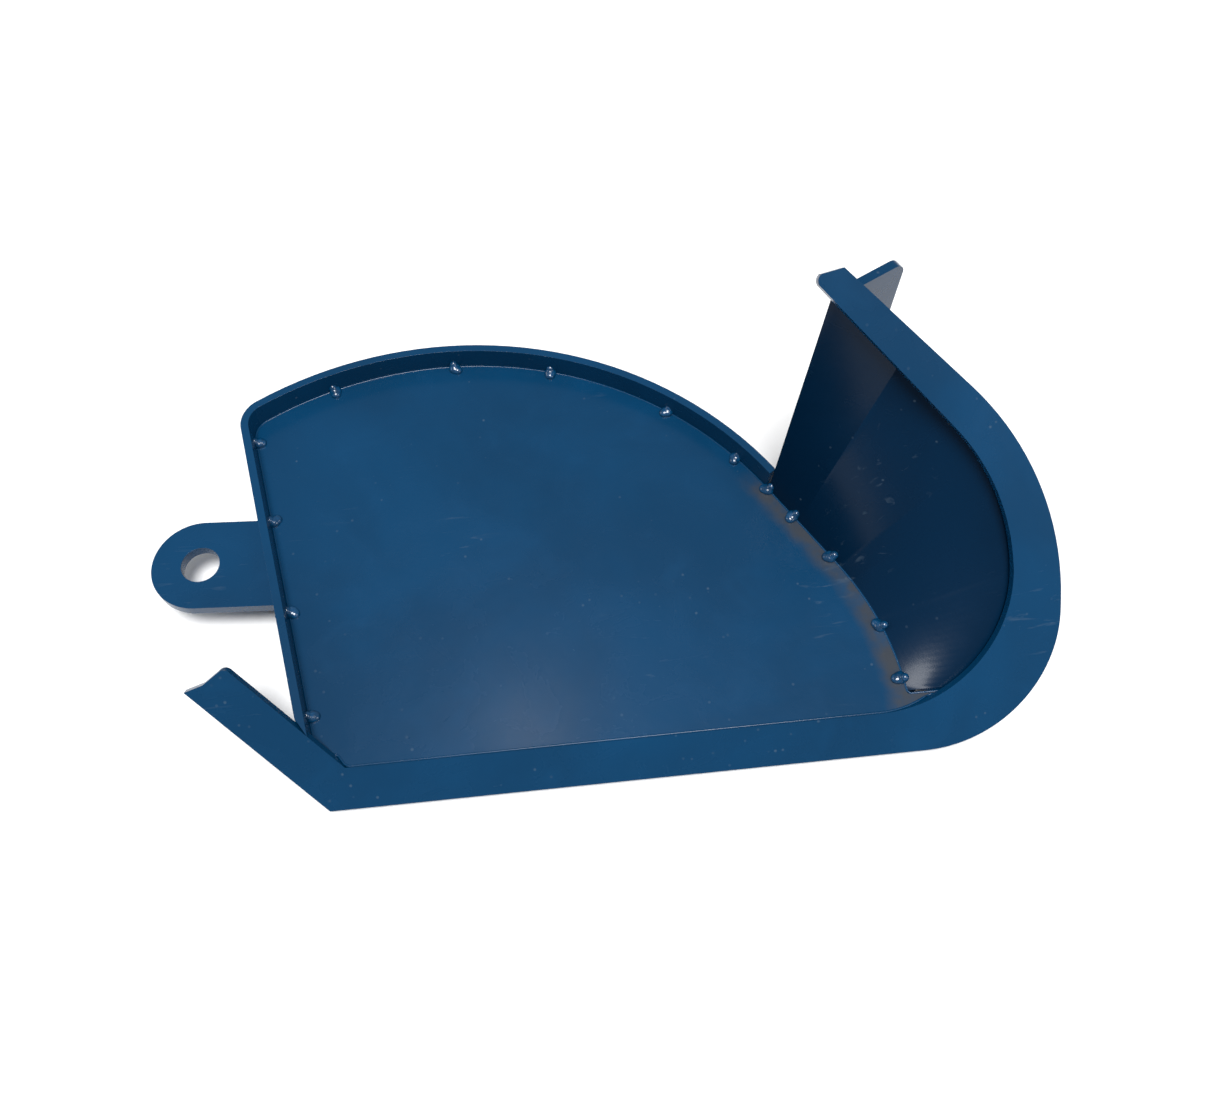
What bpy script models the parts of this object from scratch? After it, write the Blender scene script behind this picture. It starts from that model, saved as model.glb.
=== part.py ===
"""Welded steel mud pan: a floor plate with a low rim, a rolled side wall, a J-shaped front flange and two lugs.

Units are metres, +Z is up, +X runs along the front edge to the right and +Y goes to the back.
The origin is on the top face of the floor plate, near its middle. The pieces are laid out from the
front left corner of the pan and hang on one empty, which moves that corner to its place.
"""
import math

import bmesh
import bpy
from mathutils import Matrix, Vector

MM = 0.001

# The origin, measured from the front left corner that the outlines start from.
ORIGIN_FROM_CORNER = Vector((95.0 * MM, 60.0 * MM, 0.0))

# Floor plate and its outline: straight left side, round back, straight cheek, round front right side.
FLOOR_THICKNESS = 2.5 * MM
LEFT_FOOT_X = 2.5 * MM
LEFT_LEAN = math.radians(11.2)
BACK_CENTRE = Vector((47.0 * MM, 23.0 * MM))
BACK_RADIUS = 131.0 * MM
BACK_END_ANGLE = math.radians(30.0)
BACK_CORNER_RADIUS = 8.0 * MM
CHEEK_LENGTH = 38.0 * MM
CHEEK_RADIUS = 100.0 * MM
TAB_DEPTH = 5.9 * MM
TAB_REACH = 207.0 * MM

# Low rim on the left side and the back.
RIM_HEIGHT = 9.0 * MM
RIM_THICKNESS = 2.8 * MM
RIM_START = 6.0 * MM

# Front flange, a flat plate that leans back over the front edge.
FLANGE_TILT = math.radians(42.0)
FLANGE_THICKNESS = 3.0 * MM
FLANGE_WIDTH = 14.3 * MM
FLANGE_OUTER_X = 241.2 * MM
FLANGE_OUTER_RADIUS = 44.0 * MM
FLANGE_OUTER_SWEEP = 98.0 * MM
FLANGE_OUTER_SWEEP_START = 33.0 * MM
FLANGE_OUTER_TURN = math.radians(45.3)
FLANGE_INNER_X = 225.7 * MM
FLANGE_INNER_RADIUS = 43.3 * MM
FLANGE_INNER_SWEEP = 72.4 * MM
FLANGE_INNER_SWEEP_START = 42.0 * MM
FLANGE_INNER_TURN = math.radians(41.9)
FLANGE_TOP_REACH = 140.3 * MM
FLANGE_END_RADIUS = 2.5 * MM
TAIL_CORNER_X = 10.8 * MM
TAIL_ANGLE = math.radians(131.0)
TAIL_WIDTH = 14.4 * MM
TAIL_LENGTH = 49.0 * MM
TAIL_SLANT = 3.2 * MM

# Side wall between the floor plate and the flange.
WALL_THICKNESS = 2.8 * MM
WALL_SETBACK = 2.0 * MM
WALL_START = 1.2 * MM
WALL_SECTIONS = 48
WALL_FRONT_Y = 7.0 * MM
WALL_FRONT_RISE = 7.5 * MM
WALL_BACK_MARGIN = 7.0 * MM

# Left lug, a flat bar with a round end, level with the floor.
LUG_CENTRE = Vector((-38.0 * MM, 75.5 * MM))
LUG_WIDTH = 33.0 * MM
LUG_HOLE_RADIUS = 6.5 * MM
LUG_THICKNESS = 4.0 * MM
LUG_TURN = math.radians(-3.5)

# Rear lug, an upright plate that stands out from the back end of the wall.
REAR_LUG_ROOT = Vector((174.8 * MM, 101.1 * MM))
REAR_LUG_AZIMUTH = math.radians(27.0)
REAR_LUG_THICKNESS = 3.0 * MM
REAR_LUG_REACH = 24.2 * MM
REAR_LUG_TOP = 85.2 * MM
REAR_LUG_HEIGHT = 40.0 * MM
REAR_LUG_SLANT = 2.2 * MM
REAR_LUG_CORNER = 4.5 * MM
REAR_LUG_HOLE_RADIUS = 6.5 * MM
REAR_LUG_HOLE_DROP = 22.0 * MM

# Weld beads.
GAP = 0.3 * MM
TACK_RADII = (3.6 * MM, 3.4 * MM, 3.2 * MM)
STITCH_RADII = (3.0 * MM, 12.0 * MM, 2.4 * MM)
LUG_BEAD_RADII = (3.2 * MM, 11.0 * MM, 2.6 * MM)
BACK_TACK_ANGLES = (108.0, 88.0, 72.0, 51.0, 37.0)
LEFT_TACK_STATIONS = (18.0, 56.0, 92.0, 126.0)
CHEEK_TACK_STATIONS = (1.5, 15.0, 35.0)
FRONT_TACK_ANGLES = (14.5, 3.5)
STITCH_STATIONS = (45.0, 95.0, 145.0)

ARC_STEP = math.radians(2.5)

BLUE_TOP = (0.010, 0.075, 0.170, 1.0)
BLUE_WALL = (0.007, 0.048, 0.118, 1.0)
BLUE_WELD = (0.014, 0.080, 0.165, 1.0)


def clear_scene():
    """Remove every object that the scene starts with."""
    for item in list(bpy.data.objects):
        bpy.data.objects.remove(item, do_unlink=True)


def new_collection(name):
    """Make a collection under the scene's own."""
    group = bpy.data.collections.new(name)
    bpy.context.scene.collection.children.link(group)
    return group


def paint(name, colour, roughness):
    """Make a plain painted-metal material."""
    material = bpy.data.materials.new(name)
    material.use_nodes = True
    shader = material.node_tree.nodes["Principled BSDF"]
    shader.inputs["Base Color"].default_value = colour
    shader.inputs["Roughness"].default_value = roughness
    shader.inputs["Metallic"].default_value = 0.0
    material.diffuse_color = colour
    return material


def polar(angle):
    """Unit vector at an angle from +X."""
    return Vector((math.cos(angle), math.sin(angle)))


def arc(centre, radius, start, end):
    """Points along an arc, both ends included."""
    steps = max(2, math.ceil(abs(end - start) / ARC_STEP))
    return [centre + radius * polar(start + (end - start) * i / steps) for i in range(steps + 1)]


def back_corner():
    """Centre of the round between the left side and the back, and the two angles it spans."""
    side = Vector((-math.sin(LEFT_LEAN), math.cos(LEFT_LEAN)))
    inward = Vector((math.cos(LEFT_LEAN), math.sin(LEFT_LEAN)))
    base = Vector((LEFT_FOOT_X, 0.0)) + inward * BACK_CORNER_RADIUS - BACK_CENTRE
    reach = BACK_RADIUS - BACK_CORNER_RADIUS
    half = base.dot(side)
    along = -half + math.sqrt(half * half - base.length_squared + reach * reach)
    centre = BACK_CENTRE + base + side * along
    away = centre - BACK_CENTRE
    return centre, math.pi + LEFT_LEAN, math.atan2(away.y, away.x)


def rim_line(offset, start_y):
    """The left side and the back, moved outward by an offset, from the front to the end of the back arc."""
    centre, first, last = back_corner()
    outward = -Vector((math.cos(LEFT_LEAN), math.sin(LEFT_LEAN)))
    foot = Vector((LEFT_FOOT_X - start_y * math.tan(LEFT_LEAN), start_y)) + outward * offset
    points = [foot]
    points += arc(centre, BACK_CORNER_RADIUS + offset, first, last)
    points += arc(BACK_CENTRE, BACK_RADIUS + offset, last, BACK_END_ANGLE)[1:]
    return points


def cheek_start():
    """Where the back arc ends and the straight cheek begins, and the cheek's direction."""
    start = BACK_CENTRE + BACK_RADIUS * polar(BACK_END_ANGLE)
    along = polar(BACK_END_ANGLE - math.pi / 2)
    return start, along


def cheek_round_centre():
    """Centre of the round front part of the wall's foot."""
    start, along = cheek_start()
    return start + along * CHEEK_LENGTH - polar(BACK_END_ANGLE) * CHEEK_RADIUS


def cheek_line(offset, skip=0.0):
    """The wall's foot: the straight cheek and the round part, moved outward by an offset."""
    start, along = cheek_start()
    centre = cheek_round_centre()
    low = math.asin((WALL_FRONT_Y - centre.y) / CHEEK_RADIUS)
    points = [start + along * skip + polar(BACK_END_ANGLE) * offset]
    points += arc(centre, CHEEK_RADIUS + offset, BACK_END_ANGLE, low)
    return points


def resample(points, count):
    """Spread a number of points evenly along a line of points."""
    lengths = [0.0]
    for a, b in zip(points, points[1:]):
        lengths.append(lengths[-1] + (b - a).length)
    spread = []
    segment = 0
    for i in range(count):
        target = lengths[-1] * i / (count - 1)
        while segment < len(points) - 2 and lengths[segment + 1] < target:
            segment += 1
        span = lengths[segment + 1] - lengths[segment]
        spread.append(points[segment].lerp(points[segment + 1], (target - lengths[segment]) / span))
    return spread


def flange_inner(offset, first_rise=0.0):
    """Inner edge of the flange in its own plane, moved outward, from the front run to the top end."""
    low = Vector((FLANGE_INNER_X - FLANGE_INNER_RADIUS, FLANGE_INNER_RADIUS))
    sweep = Vector((FLANGE_INNER_X - FLANGE_INNER_SWEEP, FLANGE_INNER_SWEEP_START))
    begin = math.acos(1.0 - first_rise / FLANGE_INNER_RADIUS) - math.pi / 2
    points = arc(low, FLANGE_INNER_RADIUS + offset, begin, 0.0)
    points += arc(sweep, FLANGE_INNER_SWEEP + offset, 0.0, FLANGE_INNER_TURN)
    return points


def flange_outer():
    """Outer edge of the flange in its own plane, from the front run to the top run."""
    low = Vector((FLANGE_OUTER_X - FLANGE_OUTER_RADIUS, FLANGE_OUTER_RADIUS - FLANGE_WIDTH))
    sweep = Vector((FLANGE_OUTER_X - FLANGE_OUTER_SWEEP, FLANGE_OUTER_SWEEP_START))
    points = arc(low, FLANGE_OUTER_RADIUS, -math.pi / 2, 0.0)
    points += arc(sweep, FLANGE_OUTER_SWEEP, 0.0, FLANGE_OUTER_TURN)
    return points


def run_to(point, turn, height):
    """Follow the straight top run from its tangent point up to a height in the flange's plane."""
    along = polar(turn + math.pi / 2)
    return point + along * ((height - point.y) / along.y)


def flange_outline(clearance=0.0):
    """The whole flange: front run, round corner, top run and the tail at the left."""
    inner = flange_inner(-clearance)
    inner_end = run_to(inner[-1], FLANGE_INNER_TURN, FLANGE_TOP_REACH - 5.0 * MM)
    across = polar(FLANGE_INNER_TURN)
    back = polar(FLANGE_INNER_TURN + math.pi / 2)
    inner_round = arc(inner_end + across * FLANGE_END_RADIUS, FLANGE_END_RADIUS,
                      FLANGE_INNER_TURN + math.pi, FLANGE_INNER_TURN + math.pi / 2)
    outer = flange_outer()
    outer_end = run_to(outer[-1], FLANGE_OUTER_TURN, FLANGE_TOP_REACH)
    tail = polar(TAIL_ANGLE)
    side = Vector((-tail.y, tail.x))
    corner = Vector((TAIL_CORNER_X + clearance, clearance))
    tail_end = corner + tail * TAIL_LENGTH
    tail_round = arc(tail_end + side * FLANGE_END_RADIUS - tail * FLANGE_END_RADIUS, FLANGE_END_RADIUS,
                     TAIL_ANGLE - math.pi / 2, TAIL_ANGLE)
    notch = tail_end + side * (TAIL_WIDTH * 0.6) + tail * (TAIL_SLANT * 0.2)
    tail_far = tail_end + side * TAIL_WIDTH + tail * TAIL_SLANT
    kink = tail_far - tail * ((tail_far.y + FLANGE_WIDTH) / tail.y)
    points = [corner] + inner + inner_round + [inner_round[-1] + back * 0.1 * MM, outer_end]
    points += list(reversed(outer)) + [kink, tail_far, notch] + list(reversed(tail_round))
    return points


def to_world(point, height):
    """A point of the flange's plane, at a height above its face, in world space."""
    return Vector((
        point.x,
        point.y * math.cos(FLANGE_TILT) - height * math.sin(FLANGE_TILT),
        point.y * math.sin(FLANGE_TILT) + height * math.cos(FLANGE_TILT),
    ))


def flat_plate(name, group, outlines, low, high, frame=None):
    """A plate cut from flat outlines: a filled 2D curve with a thickness, made a mesh."""
    curve = bpy.data.curves.new(name, "CURVE")
    curve.dimensions = "2D"
    curve.fill_mode = "BOTH"
    curve.extrude = (high - low) / 2
    for outline in outlines:
        spline = curve.splines.new("POLY")
        spline.points.add(len(outline) - 1)
        spline.use_cyclic_u = True
        for spot, point in zip(spline.points, outline):
            spot.co = (point.x, point.y, 0.0, 1.0)
    shape = bpy.data.objects.new(name + "_curve", curve)
    group.objects.link(shape)
    shape.matrix_world = (frame or Matrix.Identity(4)) @ Matrix.Translation((0.0, 0.0, (high + low) / 2))
    bpy.context.view_layer.update()
    seen = shape.evaluated_get(bpy.context.evaluated_depsgraph_get())
    mesh = bpy.data.meshes.new_from_object(seen)
    plate = bpy.data.objects.new(name, mesh)
    group.objects.link(plate)
    plate.matrix_world = shape.matrix_world.copy()
    bpy.data.objects.remove(shape, do_unlink=True)
    work = bmesh.new()
    work.from_mesh(mesh)
    bmesh.ops.remove_doubles(work, verts=work.verts, dist=1e-6)
    bmesh.ops.recalc_face_normals(work, faces=work.faces)
    work.to_mesh(mesh)
    work.free()
    return plate


def cut(target, cutter):
    """Cut a piece with a hidden cutter."""
    trim = target.modifiers.new("cut", "BOOLEAN")
    trim.operation = "DIFFERENCE"
    trim.solver = "EXACT"
    trim.object = cutter


def dress(piece, material):
    """Give a piece its material and smooth rounds."""
    piece.data.materials.clear()
    piece.data.materials.append(material)
    piece.data.shade_smooth()
    piece.data.set_sharp_from_angle(angle=math.radians(30.0))


def tilted_frame():
    """Frame of the flange's plane."""
    return Matrix.Rotation(FLANGE_TILT, 4, "X")


def make_flange_cutter(group):
    """The room that the flange takes, with a small gap round it, open upward."""
    cutter = flat_plate("flange_room", group, [flange_outline(GAP * 1.2)],
                        -FLANGE_THICKNESS - GAP * 1.2, 9.0 * MM, tilted_frame())
    cutter.hide_render = True
    cutter.display_type = "WIRE"
    return cutter


def make_pan_plate(group, cutter):
    """Floor plate inside the rim and the wall, with a short tab that closes the front right corner."""
    outline = rim_line(-GAP, -1.0 * MM)
    outline += cheek_line(-GAP)[1:]
    outline += [Vector((outline[-1].x, TAB_DEPTH)), Vector((TAB_REACH, TAB_DEPTH)),
                Vector((TAB_REACH, -1.0 * MM))]
    plate = flat_plate("pan_plate", group, [outline], -FLOOR_THICKNESS, 0.0)
    cut(plate, cutter)
    return plate


def make_edge_rim(group, cutter):
    """Low strip that stands round the left side and the back."""
    inner = rim_line(0.0, RIM_START)
    outer = rim_line(RIM_THICKNESS, RIM_START)
    rim = flat_plate("edge_rim", group, [inner + list(reversed(outer))], -FLOOR_THICKNESS, RIM_HEIGHT)
    cut(rim, cutter)
    return rim


def make_side_wall(group):
    """Rolled wall, lofted from its foot round the floor to the inner edge of the flange."""
    foot_in = resample(cheek_line(0.0, WALL_START), WALL_SECTIONS)
    foot_out = resample(cheek_line(WALL_THICKNESS, WALL_START), WALL_SECTIONS)
    crowns = []
    for setback in (WALL_SETBACK, WALL_SETBACK + WALL_THICKNESS):
        edge = flange_inner(setback, WALL_FRONT_RISE)
        edge.append(run_to(edge[-1], FLANGE_INNER_TURN, FLANGE_TOP_REACH - WALL_BACK_MARGIN))
        crowns.append(resample(list(reversed(edge)), WALL_SECTIONS))
    level = -FLANGE_THICKNESS - GAP
    work = bmesh.new()
    rings = []
    for i in range(WALL_SECTIONS):
        section = [
            (foot_in[i].x, foot_in[i].y, -FLOOR_THICKNESS),
            (foot_in[i].x, foot_in[i].y, 0.0),
            to_world(crowns[0][i], level),
            to_world(crowns[1][i], level),
            (foot_out[i].x, foot_out[i].y, 0.0),
            (foot_out[i].x, foot_out[i].y, -FLOOR_THICKNESS),
        ]
        rings.append([work.verts.new(point) for point in section])
    for ring, after in zip(rings, rings[1:]):
        for k in range(len(ring)):
            n = (k + 1) % len(ring)
            work.faces.new((ring[k], ring[n], after[n], after[k]))
    work.faces.new(rings[0])
    work.faces.new(list(reversed(rings[-1])))
    bmesh.ops.recalc_face_normals(work, faces=work.faces)
    mesh = bpy.data.meshes.new("side_wall")
    work.to_mesh(mesh)
    work.free()
    wall = bpy.data.objects.new("side_wall", mesh)
    group.objects.link(wall)
    return wall


def make_left_lug(group):
    """Flat bar with a full round end and one hole, butted against the rim."""
    along = polar(LUG_TURN)
    side = Vector((-along.y, along.x))
    half = LUG_WIDTH / 2
    outward = -Vector((math.cos(LEFT_LEAN), math.sin(LEFT_LEAN)))
    face = Vector((LEFT_FOOT_X, 0.0)) + outward * (RIM_THICKNESS + GAP)
    outline = arc(LUG_CENTRE, half, LUG_TURN + math.pi / 2, LUG_TURN + math.pi * 1.5)
    for edge in (-half, half):
        start = LUG_CENTRE + side * edge
        outline.append(start + along * ((face - start).dot(outward) / along.dot(outward)))
    hole = arc(LUG_CENTRE, LUG_HOLE_RADIUS, 0.0, 2 * math.pi)[:-1]
    return flat_plate("left_lug", group, [outline, hole], 0.0, LUG_THICKNESS)


def make_rear_lug(group):
    """Upright plate with one hole; its root follows the leaning end of the wall."""
    low = REAR_LUG_TOP - REAR_LUG_HEIGHT
    reach = REAR_LUG_REACH
    round_top = Vector((reach - REAR_LUG_CORNER, REAR_LUG_TOP - REAR_LUG_CORNER))
    round_low = Vector((reach - 2 * REAR_LUG_CORNER, low + 2 * REAR_LUG_CORNER))
    outline = [Vector((-REAR_LUG_SLANT, low))]
    outline += arc(round_low, 2 * REAR_LUG_CORNER, -math.pi / 2, 0.0)
    outline += arc(round_top, REAR_LUG_CORNER, 0.0, math.pi / 2)
    outline += [Vector((0.0, REAR_LUG_TOP))]
    hole_centre = Vector((reach / 2, REAR_LUG_TOP - REAR_LUG_HOLE_DROP))
    hole = arc(hole_centre, REAR_LUG_HOLE_RADIUS, 0.0, 2 * math.pi)[:-1]
    away = polar(REAR_LUG_AZIMUTH)
    frame = Matrix((
        (away.x, 0.0, away.y, REAR_LUG_ROOT.x),
        (away.y, 0.0, -away.x, REAR_LUG_ROOT.y),
        (0.0, 1.0, 0.0, 0.0),
        (0.0, 0.0, 0.0, 1.0),
    ))
    return flat_plate("rear_lug", group, [outline, hole], -REAR_LUG_THICKNESS, 0.0, frame)


def weld_bead(name, group, place, inward, up, radii):
    """A drop of weld in a corner: an ellipsoid cut off by the two faces that it joins."""
    up = up.normalized()
    inward = inward.normalized()
    along = up.cross(inward)
    work = bmesh.new()
    bmesh.ops.create_uvsphere(work, u_segments=16, v_segments=10, radius=1.0)
    for vert in work.verts:
        vert.co = Vector((vert.co.x * radii[0], vert.co.y * radii[1], vert.co.z * radii[2]))
    for axis in (Vector((1.0, 0.0, 0.0)), Vector((0.0, 0.0, 1.0))):
        everything = work.verts[:] + work.edges[:] + work.faces[:]
        bmesh.ops.bisect_plane(work, geom=everything, dist=1e-7, plane_co=axis * GAP, plane_no=axis,
                               clear_inner=True)
        rim = [edge for edge in work.edges if edge.is_boundary]
        bmesh.ops.holes_fill(work, edges=rim, sides=0)
    bmesh.ops.recalc_face_normals(work, faces=work.faces)
    mesh = bpy.data.meshes.new(name)
    work.to_mesh(mesh)
    work.free()
    bead = bpy.data.objects.new(name, mesh)
    group.objects.link(bead)
    frame = Matrix((inward, along, up)).transposed().to_4x4()
    frame.translation = place
    bead.matrix_world = frame
    return bead


def make_tacks(group):
    """Tack welds in the corner between the floor and what stands on its edge."""
    up = Vector((0.0, 0.0, 1.0))
    beads = []
    for i, degrees in enumerate(BACK_TACK_ANGLES):
        away = polar(math.radians(degrees))
        spot = BACK_CENTRE + away * BACK_RADIUS
        beads.append(weld_bead(f"tack_back_{i + 1}", group, spot.to_3d(), -away.to_3d(), up, TACK_RADII))
    inward = Vector((math.cos(LEFT_LEAN), math.sin(LEFT_LEAN), 0.0))
    for i, station in enumerate(LEFT_TACK_STATIONS):
        y = station * MM
        spot = Vector((LEFT_FOOT_X - y * math.tan(LEFT_LEAN), y, 0.0))
        beads.append(weld_bead(f"tack_left_{i + 1}", group, spot, inward, up, TACK_RADII))
    start, along = cheek_start()
    facing = -polar(BACK_END_ANGLE).to_3d()
    for i, station in enumerate(CHEEK_TACK_STATIONS):
        spot = start + along * station * MM
        beads.append(weld_bead(f"tack_wall_{i + 1}", group, spot.to_3d(), facing, up, TACK_RADII))
    centre = cheek_round_centre()
    for i, degrees in enumerate(FRONT_TACK_ANGLES):
        away = polar(math.radians(degrees))
        name = f"tack_wall_{i + 1 + len(CHEEK_TACK_STATIONS)}"
        spot = centre + away * CHEEK_RADIUS
        beads.append(weld_bead(name, group, spot.to_3d(), -away.to_3d(), up, TACK_RADII))
    return beads


def make_stitches(group):
    """Short beads under the floor, along the joint with the flange, and one under the left lug."""
    down = Vector((0.0, 0.0, -1.0))
    back = Vector((0.0, 1.0, 0.0))
    beads = []
    for i, station in enumerate(STITCH_STATIONS):
        spot = Vector((station * MM, 2.6 * MM, -FLOOR_THICKNESS))
        beads.append(weld_bead(f"stitch_front_{i + 1}", group, spot, back, down, STITCH_RADII))
    outward = -Vector((math.cos(LEFT_LEAN), math.sin(LEFT_LEAN), 0.0))
    y = LUG_CENTRE.y
    root = Vector((LEFT_FOOT_X - y * math.tan(LEFT_LEAN), y, 0.0)) + outward * RIM_THICKNESS
    beads.append(weld_bead("bead_left_lug", group, root, outward, down, LUG_BEAD_RADII))
    return beads


def main():
    clear_scene()
    parts = new_collection("mud_pan")
    cutters = new_collection("cutters")
    plate_paint = paint("plate_paint", BLUE_TOP, 0.32)
    wall_paint = paint("wall_paint", BLUE_WALL, 0.30)
    weld_paint = paint("weld_paint", BLUE_WELD, 0.28)
    room = make_flange_cutter(cutters)
    dress(make_pan_plate(parts, room), plate_paint)
    dress(make_edge_rim(parts, room), plate_paint)
    dress(make_side_wall(parts), wall_paint)
    flange = flat_plate("front_flange", parts, [flange_outline()], -FLANGE_THICKNESS, 0.0, tilted_frame())
    dress(flange, plate_paint)
    dress(make_left_lug(parts), plate_paint)
    dress(make_rear_lug(parts), plate_paint)
    for bead in make_tacks(parts) + make_stitches(parts):
        dress(bead, weld_paint)
    corner = bpy.data.objects.new("front_left_corner", None)
    corner.location = -ORIGIN_FROM_CORNER
    parts.objects.link(corner)
    for item in list(parts.objects) + list(cutters.objects):
        if item is not corner:
            item.parent = corner


main()
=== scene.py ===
"""Finished look of a welded, blue enamelled mud pan, laid out as an add-on and run as a script."""
import math

import bmesh
import bpy
from bpy.props import FloatProperty, FloatVectorProperty, IntProperty, PointerProperty
from mathutils import Matrix, Vector


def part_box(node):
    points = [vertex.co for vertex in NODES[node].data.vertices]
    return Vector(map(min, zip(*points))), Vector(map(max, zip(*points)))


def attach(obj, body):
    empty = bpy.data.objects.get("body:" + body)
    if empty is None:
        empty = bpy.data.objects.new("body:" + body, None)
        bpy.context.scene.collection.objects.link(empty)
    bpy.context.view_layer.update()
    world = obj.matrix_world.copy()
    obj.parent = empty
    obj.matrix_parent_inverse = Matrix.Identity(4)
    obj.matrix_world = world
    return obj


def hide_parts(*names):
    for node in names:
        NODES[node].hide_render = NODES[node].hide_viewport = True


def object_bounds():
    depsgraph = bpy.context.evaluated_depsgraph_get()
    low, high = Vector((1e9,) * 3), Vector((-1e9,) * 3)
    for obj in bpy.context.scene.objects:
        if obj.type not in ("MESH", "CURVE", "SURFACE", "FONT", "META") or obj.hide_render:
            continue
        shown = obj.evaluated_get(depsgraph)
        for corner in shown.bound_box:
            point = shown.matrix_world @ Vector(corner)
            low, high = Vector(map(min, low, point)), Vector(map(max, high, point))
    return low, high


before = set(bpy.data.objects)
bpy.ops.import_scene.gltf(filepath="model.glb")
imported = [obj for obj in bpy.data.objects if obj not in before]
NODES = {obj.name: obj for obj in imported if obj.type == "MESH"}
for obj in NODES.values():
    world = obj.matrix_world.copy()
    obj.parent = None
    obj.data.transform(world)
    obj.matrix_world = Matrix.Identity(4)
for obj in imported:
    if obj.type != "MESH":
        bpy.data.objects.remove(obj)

bl_info = {
    "name": "Mud Pan Finish",
    "version": (1, 0, 0),
    "blender": (4, 5, 0),
    "location": "View3D > Sidebar > Mud Pan",
    "description": "Rounds, paints and lights a welded mud pan",
    "category": "Object",
}

MM = 0.001
CAD_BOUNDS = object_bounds()
PLATES = ("pan_plate", "edge_rim", "front_flange", "left_lug", "rear_lug")
TACKS = sorted(name for name in NODES if name.startswith("tack_"))
STITCHES = sorted(name for name in NODES if name.startswith(("stitch_", "bead_")))
MERGE_DISTANCE = 1e-6
FLAT_ANGLE = math.radians(0.4)
ROUND_ANGLE = math.radians(40.0)
CORNER_ANGLE = math.radians(20.0)
STITCH_PITCH = 1.6 * MM
GROUND_DROP = 0.2 * MM

# Driving sizes of the floor, measured from its front left corner.
FLOOR_LENGTH = 207.0 * MM
BACK_CENTRE = Vector((47.0, 23.0, 0.0)) * MM
BACK_RADIUS = 131.0 * MM
CHEEK_ANGLE = math.radians(30.0)
CHEEK_LENGTH = 38.0 * MM
CHEEK_RADIUS = 100.0 * MM

# Lamps: the side lamps hold place, diameter and power, and face the pan's origin.
GLINT_REACH = 1.6
GLINT_SIZE = 0.13
GLINT_POWER = 0.45
SIDE_LAMPS = {
    "right": ((1.5, -0.9, 1.1), 1.0, 8.0),
    "left": ((-1.6, 0.3, 0.9), 1.0, 5.0),
}
OVERHEAD_RAY = Vector((0.0, 0.19, -0.98))
OVERHEAD_SPREAD = math.radians(26.0)
OVERHEAD_POWER = 3.5
SURROUND_STRENGTH = 0.28


# ---------------------------------------------------------------- shader helper

class Wire:
    """A shader socket that can be used in Python expressions."""

    def __init__(self, tree, socket):
        self.tree = tree
        self.socket = socket

    def math(self, operation, *others):
        """Add one Math node that starts from this socket."""
        inputs = {0: self}
        for index, other in enumerate(others):
            inputs[index + 1] = other
        return self.node("ShaderNodeMath", {"operation": operation}, inputs)

    def node(self, kind, settings=None, inputs=None, output=0):
        """Add any node: its settings first, then the values or wires of its sockets."""
        made = self.tree.nodes.new(kind)
        for key, value in (settings or {}).items():
            setattr(made, key, value)
        for key, value in (inputs or {}).items():
            if isinstance(value, Wire):
                self.tree.links.new(value.socket, made.inputs[key])
            else:
                made.inputs[key].default_value = value
        return Wire(self.tree, made.outputs[output])

    def __add__(self, other):
        return self.math("ADD", other)

    __radd__ = __add__

    def __sub__(self, other):
        return self.math("SUBTRACT", other)

    def __rsub__(self, other):
        flipped = self.math("MULTIPLY", -1.0)
        return flipped.math("ADD", other)

    def __mul__(self, other):
        return self.math("MULTIPLY", other)

    __rmul__ = __mul__

    def smooth(self, low, high):
        """Rise smoothly from 0 to 1 between two values, or fall when low is the larger."""
        flip = low > high
        first, last = (high, low) if flip else (low, high)
        inputs = {"Value": self, "From Min": first, "From Max": last}
        inputs["To Min"] = 1.0 if flip else 0.0
        inputs["To Max"] = 0.0 if flip else 1.0
        return self.node("ShaderNodeMapRange", {"interpolation_type": "SMOOTHSTEP"}, inputs)

    def part(self, axis):
        """One axis of a vector."""
        return self.node("ShaderNodeSeparateXYZ", None, {0: self}, "XYZ".index(axis))

    def stretched(self, scale, turn=0.0):
        """The same place with its axes scaled and turned about Z."""
        inputs = {"Vector": self, "Scale": scale, "Rotation": (0.0, 0.0, turn)}
        return self.node("ShaderNodeMapping", {"vector_type": "POINT"}, inputs)

    def clouds(self, scale, detail=2.0, roughness=0.5, distortion=0.0):
        """Soft noise at this place, from 0 to 1."""
        inputs = {"Vector": self, "Scale": scale, "Detail": detail, "Roughness": roughness}
        inputs["Distortion"] = distortion
        return self.node("ShaderNodeTexNoise", {"normalize": True}, inputs)

    def specks(self, scale, size):
        """Small separate spots at this place."""
        cells = self.node("ShaderNodeTexVoronoi", {"feature": "F1"}, {"Vector": self, "Scale": scale})
        return cells.smooth(size, size * 0.4)

    def blend(self, first, second):
        """Mix two colours with this wire as the factor."""
        return self.node("ShaderNodeMix", {"data_type": "RGBA"}, {0: self, 6: first, 7: second}, 2)


def new_paint(name):
    """A material with its Principled shader and the place on the piece as a wire."""
    material = bpy.data.materials.new(name)
    material.use_nodes = True
    tree = material.node_tree
    shader = tree.nodes["Principled BSDF"]
    place = tree.nodes.new("ShaderNodeTexCoord")
    return material, shader, Wire(tree, place.outputs["Object"])


def feed(shader, name, value):
    """Link a wire to a socket of the shader."""
    value.tree.links.new(value.socket, shader.inputs[name])


def rgba(colour, gain=1.0):
    """A colour with an alpha of 1, made lighter or darker."""
    return (colour[0] * gain, colour[1] * gain, colour[2] * gain, 1.0)


# ---------------------------------------------------------------- settings

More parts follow.
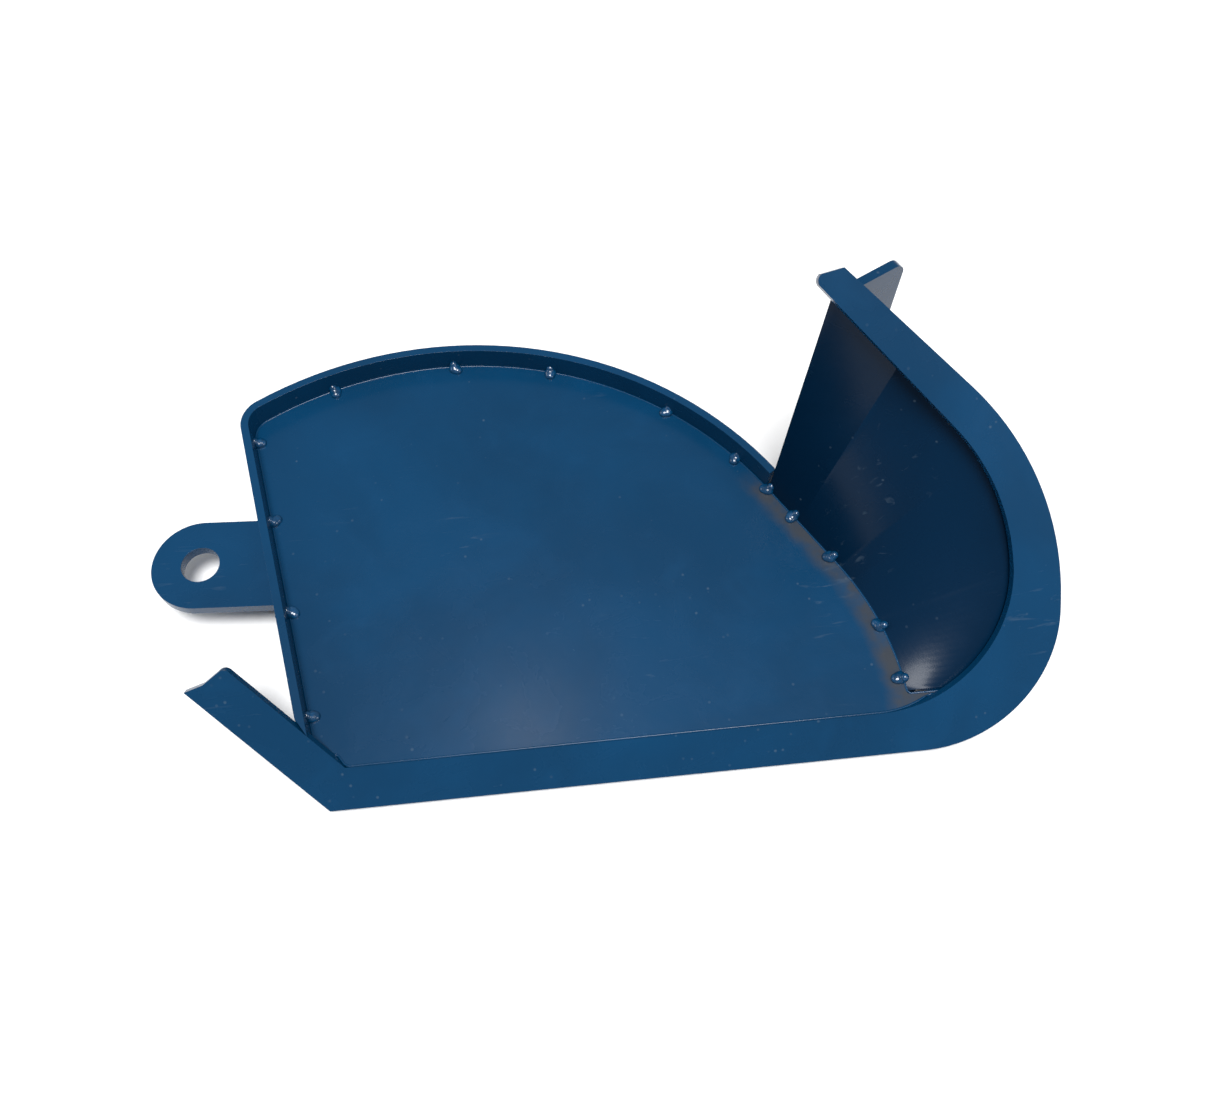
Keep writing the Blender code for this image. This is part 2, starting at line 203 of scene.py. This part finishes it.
class MudPanSizes(bpy.types.PropertyGroup):
    """Sizes of the finishing details."""

    edge_round: FloatProperty(
        name="Edge round", description="Radius that blasting and paint leave on a cut edge",
        default=0.45 * MM, min=0.0, unit="LENGTH")
    seam_bead: FloatProperty(
        name="Seam bead", description="Radius of the paint that fills the joint round the floor",
        default=0.42 * MM, min=0.0, unit="LENGTH")
    tack_size: FloatProperty(
        name="Tack size", description="Radius of a tack weld's main drop",
        default=2.3 * MM, min=0.0, unit="LENGTH")
    tack_detail: FloatProperty(
        name="Tack detail", description="Voxel size that a weld bead is blended at",
        default=0.28 * MM, min=0.05 * MM, unit="LENGTH")
    tack_seed: IntProperty(
        name="Tack seed", description="Changes how the drops of weld vary", default=4)


class MudPanColours(bpy.types.PropertyGroup):
    """Colours of the enamel and of what lies on it, with the wall's painted shade and the floor's painted
    reflection.
    """

    enamel: FloatVectorProperty(
        name="Enamel", description="Blue enamel on the flat plates", subtype="COLOR",
        default=(0.0003, 0.0370, 0.1000), min=0.0, max=1.0)
    # Painted shade: the wall's colour is the plates' blue enamel darkened to stand for the shade on the rolled
    # wall.
    shaded_wall_enamel: FloatVectorProperty(
        name="Shaded wall enamel", description="Blue enamel darkened as painted shade on the rolled wall", subtype="COLOR",
        default=(0.0002, 0.0130, 0.0380), min=0.0, max=1.0)
    # Painted reflection: the brown-grey colour of the band painted on the floor along the wall's foot.
    wall_reflection_tint: FloatVectorProperty(
        name="Wall reflection", description="Brown-grey painted reflection beside the welded wall", subtype="COLOR",
        default=(0.030, 0.036, 0.046), min=0.0, max=1.0)
    dust: FloatVectorProperty(
        name="Dust", description="Dry dust and scuffs", subtype="COLOR",
        default=(0.10, 0.15, 0.20), min=0.0, max=1.0)
    ground: FloatVectorProperty(
        name="Ground", description="Pale floor of the stage", subtype="COLOR",
        default=(0.93, 0.93, 0.93), min=0.0, max=1.0)


class MudPanStage(bpy.types.PropertyGroup):
    """Camera and light."""

    lens: FloatProperty(
        name="Lens", description="Focal length on a 36 mm wide frame",
        default=32.6, subtype="DISTANCE_CAMERA")
    pitch: FloatProperty(
        name="Look down", description="How steeply the camera looks down", subtype="ANGLE",
        default=math.radians(62.0))
    heading: FloatProperty(
        name="Heading", description="How far the camera is turned to the right", subtype="ANGLE",
        default=math.radians(6.0))
    eye: FloatVectorProperty(
        name="Eye", description="Where the camera stands", subtype="TRANSLATION", unit="LENGTH",
        default=(-0.0130, -0.1708, 0.3370))
    glint: FloatVectorProperty(
        name="Glint", description="Where the small lamp is mirrored in the floor plate", subtype="TRANSLATION",
        unit="LENGTH", default=(-0.026, -0.055, 0.0))


# ---------------------------------------------------------------- shapes

def corner_point():
    """The front left corner that the pan's outlines start from."""
    low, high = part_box("pan_plate")
    return Vector((high[0] - FLOOR_LENGTH, low[1], 0.0))


def clean_copy(node):
    """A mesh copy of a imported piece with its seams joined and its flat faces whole."""
    mesh = NODES[node].data.copy()
    mesh.materials.clear()
    work = bmesh.new()
    work.from_mesh(mesh)
    bmesh.ops.remove_doubles(work, verts=work.verts, dist=MERGE_DISTANCE)
    bmesh.ops.dissolve_limit(work, angle_limit=FLAT_ANGLE, verts=work.verts, edges=work.edges)
    bmesh.ops.recalc_face_normals(work, faces=work.faces)
    work.to_mesh(mesh)
    work.free()
    return mesh


def show(piece, material):
    """Put a finished piece on the frame."""
    piece.data.materials.clear()
    piece.data.materials.append(material)
    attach(piece, "root")


def rounded(node, material, width):
    """A packed plate with rounded edges, which stands for the plain one."""
    mesh = clean_copy(node)
    piece = bpy.data.objects.new("finish_" + node, mesh)
    bpy.context.scene.collection.objects.link(piece)
    bevel = piece.modifiers.new("edge_round", "BEVEL")
    bevel.width = width
    bevel.segments = 3
    bevel.limit_method = "ANGLE"
    bevel.angle_limit = ROUND_ANGLE
    bevel.miter_outer = "MITER_ARC"
    bevel.use_clamp_overlap = True
    weighted = piece.modifiers.new("weighted", "WEIGHTED_NORMAL")
    weighted.keep_sharp = True
    mesh.shade_smooth()
    show(piece, material)
    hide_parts(node)


def floor_edge():
    """The floor plate's top edge as a closed run of points."""
    mesh = clean_copy("pan_plate")
    top = max(mesh.polygons, key=lambda face: face.normal.z * face.area)
    points = [mesh.vertices[index].co.copy() for index in top.vertices]
    bpy.data.meshes.remove(mesh)
    return points


def eased(points, cut):
    """A closed run of points with its sharp corners cut off."""
    run = []
    for index, point in enumerate(points):
        before = (point - points[index - 1]).normalized()
        after = (points[(index + 1) % len(points)] - point).normalized()
        if before.angle(after) > CORNER_ANGLE:
            run += [point - before * cut, point + after * cut]
        else:
            run.append(point)
    return run


def tube(name, points, radius, closed):
    """A round bead along a run of points."""
    curve = bpy.data.curves.new(name, "CURVE")
    curve.dimensions = "3D"
    curve.bevel_depth = radius
    curve.bevel_resolution = 2
    curve.use_fill_caps = True
    spline = curve.splines.new("POLY")
    spline.points.add(len(points) - 1)
    spline.use_cyclic_u = closed
    for spot, point in zip(spline.points, points):
        spot.co = (point.x, point.y, point.z, 1.0)
    shape = bpy.data.objects.new(name, curve)
    bpy.context.scene.collection.objects.link(shape)
    bpy.context.view_layer.update()
    seen = shape.evaluated_get(bpy.context.evaluated_depsgraph_get())
    mesh = bpy.data.meshes.new_from_object(seen)
    bpy.data.objects.remove(shape, do_unlink=True)
    work = bmesh.new()
    work.from_mesh(mesh)
    bmesh.ops.remove_doubles(work, verts=work.verts, dist=MERGE_DISTANCE)
    bmesh.ops.recalc_face_normals(work, faces=work.faces)
    work.to_mesh(mesh)
    work.free()
    mesh.shade_smooth()
    piece = bpy.data.objects.new(name, mesh)
    bpy.context.scene.collection.objects.link(piece)
    return piece


def blob(name, drops, voxel):
    """One closed lump made of round drops, blended by a voxel remesh."""
    work = bmesh.new()
    for centre, radius, squash in drops:
        frame_of_drop = Matrix.Translation(centre) @ squash
        bmesh.ops.create_icosphere(work, subdivisions=3, radius=radius, matrix=frame_of_drop)
    mesh = bpy.data.meshes.new(name)
    work.to_mesh(mesh)
    work.free()
    piece = bpy.data.objects.new(name, mesh)
    bpy.context.scene.collection.objects.link(piece)
    remesh = piece.modifiers.new("blend", "REMESH")
    remesh.mode = "VOXEL"
    remesh.voxel_size = voxel
    soften = piece.modifiers.new("soften", "SMOOTH")
    soften.factor = 0.5
    soften.iterations = 3
    bpy.context.view_layer.update()
    seen = piece.evaluated_get(bpy.context.evaluated_depsgraph_get())
    baked = bpy.data.meshes.new_from_object(seen)
    piece.modifiers.clear()
    piece.data = baked
    bpy.data.meshes.remove(mesh)
    baked.shade_smooth()
    return piece


def tack_drops(node, size, seed):
    """The drops of one tack weld, which climbs from the floor onto what stands beside it."""
    low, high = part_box(node)
    centre = (Vector(low) + Vector(high)) / 2
    pan_low, pan_high = (Vector(end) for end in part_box("pan_plate"))
    middle = (pan_low + pan_high) / 2 - Vector((15.0 * MM, 12.0 * MM, 0.0))
    middle.z = 0.0
    if node.startswith("tack_left"):
        middle.y = centre.y
    outward = centre - middle
    outward.z = 0.0
    outward.normalize()
    along = Vector((-outward.y, outward.x, 0.0))
    sway = 0.35 * math.sin(seed * 2.1)
    flat = Matrix.Scale(0.72, 4, Vector((0.0, 0.0, 1.0)))
    plain = Matrix.Identity(4)
    root = Vector((centre.x, centre.y, 0.4 * MM)) + outward * 0.5 * MM
    return [
        (root, size, flat),
        (root + outward * size * 0.50 + Vector((0.0, 0.0, 1.2 * MM)), size * 0.66, plain),
        (root - outward * size * 0.45 + along * sway * size, size * 0.84, flat),
    ]


# ---------------------------------------------------------------- finishes

def wall_distance(place):
    """How far a place on the floor is inside the wall's foot, in metres, and where that foot has started."""
    outward = Vector((math.cos(CHEEK_ANGLE), math.sin(CHEEK_ANGLE), 0.0))
    along = Vector((outward.y, -outward.x, 0.0))
    start = corner_point() + BACK_CENTRE + outward * BACK_RADIUS
    finish = start + along * CHEEK_LENGTH
    centre = finish - outward * CHEEK_RADIUS
    x = place.part("X")
    y = place.part("Y")
    straight = (outward.dot(start) - x * outward.x) - y * outward.y
    dx = x - centre.x
    dy = y - centre.y
    reach = (dx * dx + dy * dy).math("SQRT")
    curved = CHEEK_RADIUS - reach
    past = (x * along.x + y * along.y) - along.dot(finish)
    switch = past.math("GREATER_THAN", 0.0)
    before = (x * along.x + y * along.y) - along.dot(start)
    started = before.smooth(-12.0 * MM, 2.0 * MM)
    distance = straight * (1.0 - switch) + curved * switch
    return distance, started


def enamel(name, colours, base, reflection_band=False, gloss=0.28):
    """Glossy enamel over sheet steel, with uneven depth, dust and scuffs and, on the floor, a brown-grey
    painted reflection band beside the wall.
    """
    material, shader, place = new_paint(name)
    depth = place.clouds(14.0, 4.0, 0.55, 0.4)
    mottle = place.clouds(55.0, 5.0, 0.6, 0.6)
    colour = depth.smooth(0.35, 0.68).blend(rgba(base, 0.88), rgba(base, 1.10))
    colour = (mottle.smooth(0.52, 0.80) * 0.25).blend(colour, rgba(base, 1.35))
    streak = place.stretched((60.0, 420.0, 200.0), math.radians(-18.0)).clouds(1.0, 4.0, 0.6, 0.8)
    patch = place.clouds(18.0, 2.0, 0.5, 0.2).smooth(0.56, 0.70)
    scuff = streak.smooth(0.60, 0.74) * patch
    specks = place.specks(210.0, 0.13) * place.clouds(40.0, 1.0).smooth(0.50, 0.66)
    colour = (scuff * 0.20).blend(colour, rgba(colours.dust))
    colour = (specks * 0.30).blend(colour, rgba(colours.dust))
    rough = 0.22 + mottle * 0.10 + scuff * 0.22 + specks * 0.15
    if reflection_band:
        # Painted reflection: a ragged brown-grey band painted on the floor along the wall's foot, in place of
        # the reflection there.
        distance, started = wall_distance(place)
        ragged = distance + (place.clouds(160.0, 3.0, 0.6) - 0.5) * 4.0 * MM
        band = ragged.smooth(9.0 * MM, 3.0 * MM) * started
        core = band * place.clouds(90.0, 3.0, 0.6).smooth(0.20, 0.60)
        colour = (core * 0.95).blend(colour, rgba(colours.wall_reflection_tint))
        rough = rough + band * 0.16
    feed(shader, "Base Color", colour)
    feed(shader, "Roughness", rough)
    shader.inputs["Specular IOR Level"].default_value = gloss
    shader.inputs["Coat Weight"].default_value = gloss * 0.4
    shader.inputs["Coat Roughness"].default_value = 0.15
    peel = place.clouds(520.0, 3.0, 0.55)
    wave = place.clouds(46.0, 2.0, 0.5)
    height = peel * 0.35 + wave * 1.6 + mottle * 0.25
    bump = place.node("ShaderNodeBump", None, {"Strength": 0.20, "Distance": 0.35 * MM, "Height": height})
    feed(shader, "Normal", bump)
    return material


def weld_enamel(name, colours):
    """The same enamel pooled thick and glossy over weld metal."""
    material, shader, place = new_paint(name)
    grain = place.clouds(420.0, 4.0, 0.6, 0.5)
    colour = grain.smooth(0.35, 0.70).blend(rgba(colours.enamel, 0.80), rgba(colours.enamel, 1.5))
    scale = grain.smooth(0.58, 0.78) * 0.35
    colour = scale.blend(colour, rgba(colours.dust, 0.7))
    feed(shader, "Base Color", colour)
    feed(shader, "Roughness", 0.14 + grain * 0.16)
    shader.inputs["Coat Weight"].default_value = 0.5
    shader.inputs["Coat Roughness"].default_value = 0.06
    ripple = place.clouds(900.0, 3.0, 0.6)
    bump = place.node("ShaderNodeBump", None, {"Strength": 0.35, "Distance": 0.20 * MM, "Height": ripple})
    feed(shader, "Normal", bump)
    return material


def ground_finish(colours):
    """Matt pale ground."""
    material, shader, place = new_paint("pale_ground")
    tone = place.clouds(3.0, 2.0).blend(rgba(colours.ground, 0.995), rgba(colours.ground))
    feed(shader, "Base Color", tone)
    shader.inputs["Roughness"].default_value = 0.9
    shader.inputs["Specular IOR Level"].default_value = 0.1
    return material


def finish_named(name, colours):
    """Find a finish, or make it the first time."""
    found = bpy.data.materials.get(name)
    if found:
        return found
    if name == "floor_enamel":
        return enamel(name, colours, colours.enamel, reflection_band=True)
    if name == "plate_enamel":
        return enamel(name, colours, colours.enamel)
    # The wall takes the blue enamel darkened as painted shade.
    if name == "wall_enamel":
        return enamel(name, colours, colours.shaded_wall_enamel, gloss=0.12)
    return weld_enamel(name, colours)


# ---------------------------------------------------------------- operators

class MUDPAN_OT_plates(bpy.types.Operator):
    """Round and paint the floor plate, the rim, the flange and the two lugs"""

    bl_idname = "mudpan.plates"
    bl_label = "Finish Plates"

    def execute(self, context):
        sizes = context.scene.mudpan_sizes
        colours = context.scene.mudpan_colours
        for node in PLATES:
            name = "floor_enamel" if node == "pan_plate" else "plate_enamel"
            rounded(node, finish_named(name, colours), sizes.edge_round)
        return {"FINISHED"}


class MUDPAN_OT_wall(bpy.types.Operator):
    """Round and paint the rolled side wall"""

    bl_idname = "mudpan.wall"
    bl_label = "Finish Side Wall"

    def execute(self, context):
        sizes = context.scene.mudpan_sizes
        colours = context.scene.mudpan_colours
        rounded("side_wall", finish_named("wall_enamel", colours), sizes.edge_round)
        return {"FINISHED"}


class MUDPAN_OT_seam(bpy.types.Operator):
    """Fill the joint round the floor plate with paint"""

    bl_idname = "mudpan.seam"
    bl_label = "Fill Floor Seam"

    def execute(self, context):
        sizes = context.scene.mudpan_sizes
        colours = context.scene.mudpan_colours
        sunk = Vector((0.0, 0.0, -sizes.seam_bead * 0.35))
        points = [point + sunk for point in floor_edge()]
        piece = tube("floor_seam", eased(points, 1.0 * MM), sizes.seam_bead, True)
        show(piece, finish_named("plate_enamel", colours))
        return {"FINISHED"}


class MUDPAN_OT_welds(bpy.types.Operator):
    """Make the tack welds and the beads on the underside"""

    bl_idname = "mudpan.welds"
    bl_label = "Make Welds"

    def execute(self, context):
        sizes = context.scene.mudpan_sizes
        material = finish_named("weld_enamel", context.scene.mudpan_colours)
        for index, node in enumerate(TACKS):
            drops = tack_drops(node, sizes.tack_size, index + sizes.tack_seed)
            piece = blob("weld_" + node, drops, sizes.tack_detail)
            show(piece, material)
            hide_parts(node)
        for node in STITCHES:
            low, high = (Vector(end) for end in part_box(node))
            centre = (low + high) / 2
            size = high - low
            axis = 0 if size.x > size.y else 1
            count = max(6, round(size[axis] / STITCH_PITCH))
            radius = min(size.x, size.y, size.z) * 0.62
            drops = []
            for i in range(count):
                spot = centre.copy()
                spot[axis] = low[axis] + size[axis] * (i + 0.5) / count
                spot.z += 0.5 * MM
                drops.append((spot, radius * (1.0 + 0.08 * math.sin(i * 2.3)), Matrix.Identity(4)))
            piece = blob("weld_" + node, drops, sizes.tack_detail)
            show(piece, material)
            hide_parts(node)
        return {"FINISHED"}


class MUDPAN_OT_stage(bpy.types.Operator):
    """Set the pale ground, the soft light and the camera"""

    bl_idname = "mudpan.stage"
    bl_label = "Set Stage"

    def execute(self, context):
        colours = context.scene.mudpan_colours
        stage = context.scene.mudpan_stage
        low, high = CAD_BOUNDS
        bpy.ops.mesh.primitive_plane_add(size=30.0, location=(0.0, 0.0, low[2] - GROUND_DROP))
        ground = context.object
        ground.name = "ground"
        ground.data.materials.append(ground_finish(colours))
        camera = make_camera(stage)
        context.scene.collection.objects.link(camera)
        context.scene.camera = camera
        make_lights(stage)
        make_world(context.scene)
        return {"FINISHED"}


def make_camera(stage):
    """The camera, at the stage's pitch and heading."""
    data = bpy.data.cameras.new("camera")
    data.lens = stage.lens
    data.sensor_width = 36.0
    data.clip_start = 0.01
    data.clip_end = 100.0
    camera = bpy.data.objects.new("camera", data)
    camera.location = stage.eye
    camera.rotation_euler = (math.pi / 2 - stage.pitch, 0.0, -stage.heading)
    return camera


def lamp(name, place, target, size, power):
    """A round soft lamp that faces a target."""
    data = bpy.data.lights.new(name, "AREA")
    data.shape = "DISK"
    data.size = size
    data.energy = power
    item = bpy.data.objects.new(name, data)
    item.location = place
    item.rotation_euler = (Vector(target) - Vector(place)).to_track_quat("-Z", "Y").to_euler()
    bpy.context.scene.collection.objects.link(item)


def make_lights(stage):
    """A small lamp mirrored in the floor plate, two weak ones at the sides and an even one overhead."""
    glint = Vector(stage.glint)
    ray = glint - Vector(stage.eye)
    mirrored = Vector((ray.x, ray.y, -ray.z)).normalized()
    lamp("glint", glint + mirrored * GLINT_REACH, glint, GLINT_SIZE, GLINT_POWER)
    for name, (place, size, power) in SIDE_LAMPS.items():
        lamp(name, place, (0.0, 0.0, 0.0), size, power)
    overhead = bpy.data.lights.new("overhead", "SUN")
    overhead.angle = OVERHEAD_SPREAD
    overhead.energy = OVERHEAD_POWER
    item = bpy.data.objects.new("overhead", overhead)
    item.rotation_euler = OVERHEAD_RAY.to_track_quat("-Z", "Y").to_euler()
    bpy.context.scene.collection.objects.link(item)


def make_world(scene):
    """Even, dim white surroundings, and plain colour handling."""
    world = bpy.data.worlds.new("studio")
    world.use_nodes = True
    background = world.node_tree.nodes["Background"]
    background.inputs["Color"].default_value = (1.0, 1.0, 1.0, 1.0)
    background.inputs["Strength"].default_value = SURROUND_STRENGTH
    scene.world = world
    scene.view_settings.view_transform = "Standard"


# ---------------------------------------------------------------- panel

class MUDPAN_PT_panel(bpy.types.Panel):
    """Mud pan finishing steps"""

    bl_label = "Mud Pan"
    bl_idname = "MUDPAN_PT_panel"
    bl_space_type = "VIEW_3D"
    bl_region_type = "UI"
    bl_category = "Mud Pan"

    def draw(self, context):
        layout = self.layout
        for group in (context.scene.mudpan_sizes, context.scene.mudpan_colours, context.scene.mudpan_stage):
            box = layout.box()
            for key in group.__annotations__:
                box.prop(group, key)
        for operator in STEPS:
            layout.operator(operator.bl_idname)


STEPS = (MUDPAN_OT_plates, MUDPAN_OT_wall, MUDPAN_OT_seam, MUDPAN_OT_welds, MUDPAN_OT_stage)
GROUPS = (MudPanSizes, MudPanColours, MudPanStage)
POINTERS = {"mudpan_sizes": MudPanSizes, "mudpan_colours": MudPanColours, "mudpan_stage": MudPanStage}


def register():
    for item in GROUPS + STEPS + (MUDPAN_PT_panel,):
        bpy.utils.register_class(item)
    for name, group in POINTERS.items():
        setattr(bpy.types.Scene, name, PointerProperty(type=group))


def unregister():
    for name in POINTERS:
        delattr(bpy.types.Scene, name)
    for item in reversed(GROUPS + STEPS + (MUDPAN_PT_panel,)):
        bpy.utils.unregister_class(item)


def main():
    register()
    bpy.ops.mudpan.plates()
    bpy.ops.mudpan.wall()
    bpy.ops.mudpan.seam()
    bpy.ops.mudpan.welds()
    bpy.ops.mudpan.stage()
    bpy.context.view_layer.update()


if __name__ == "__main__":
    main()
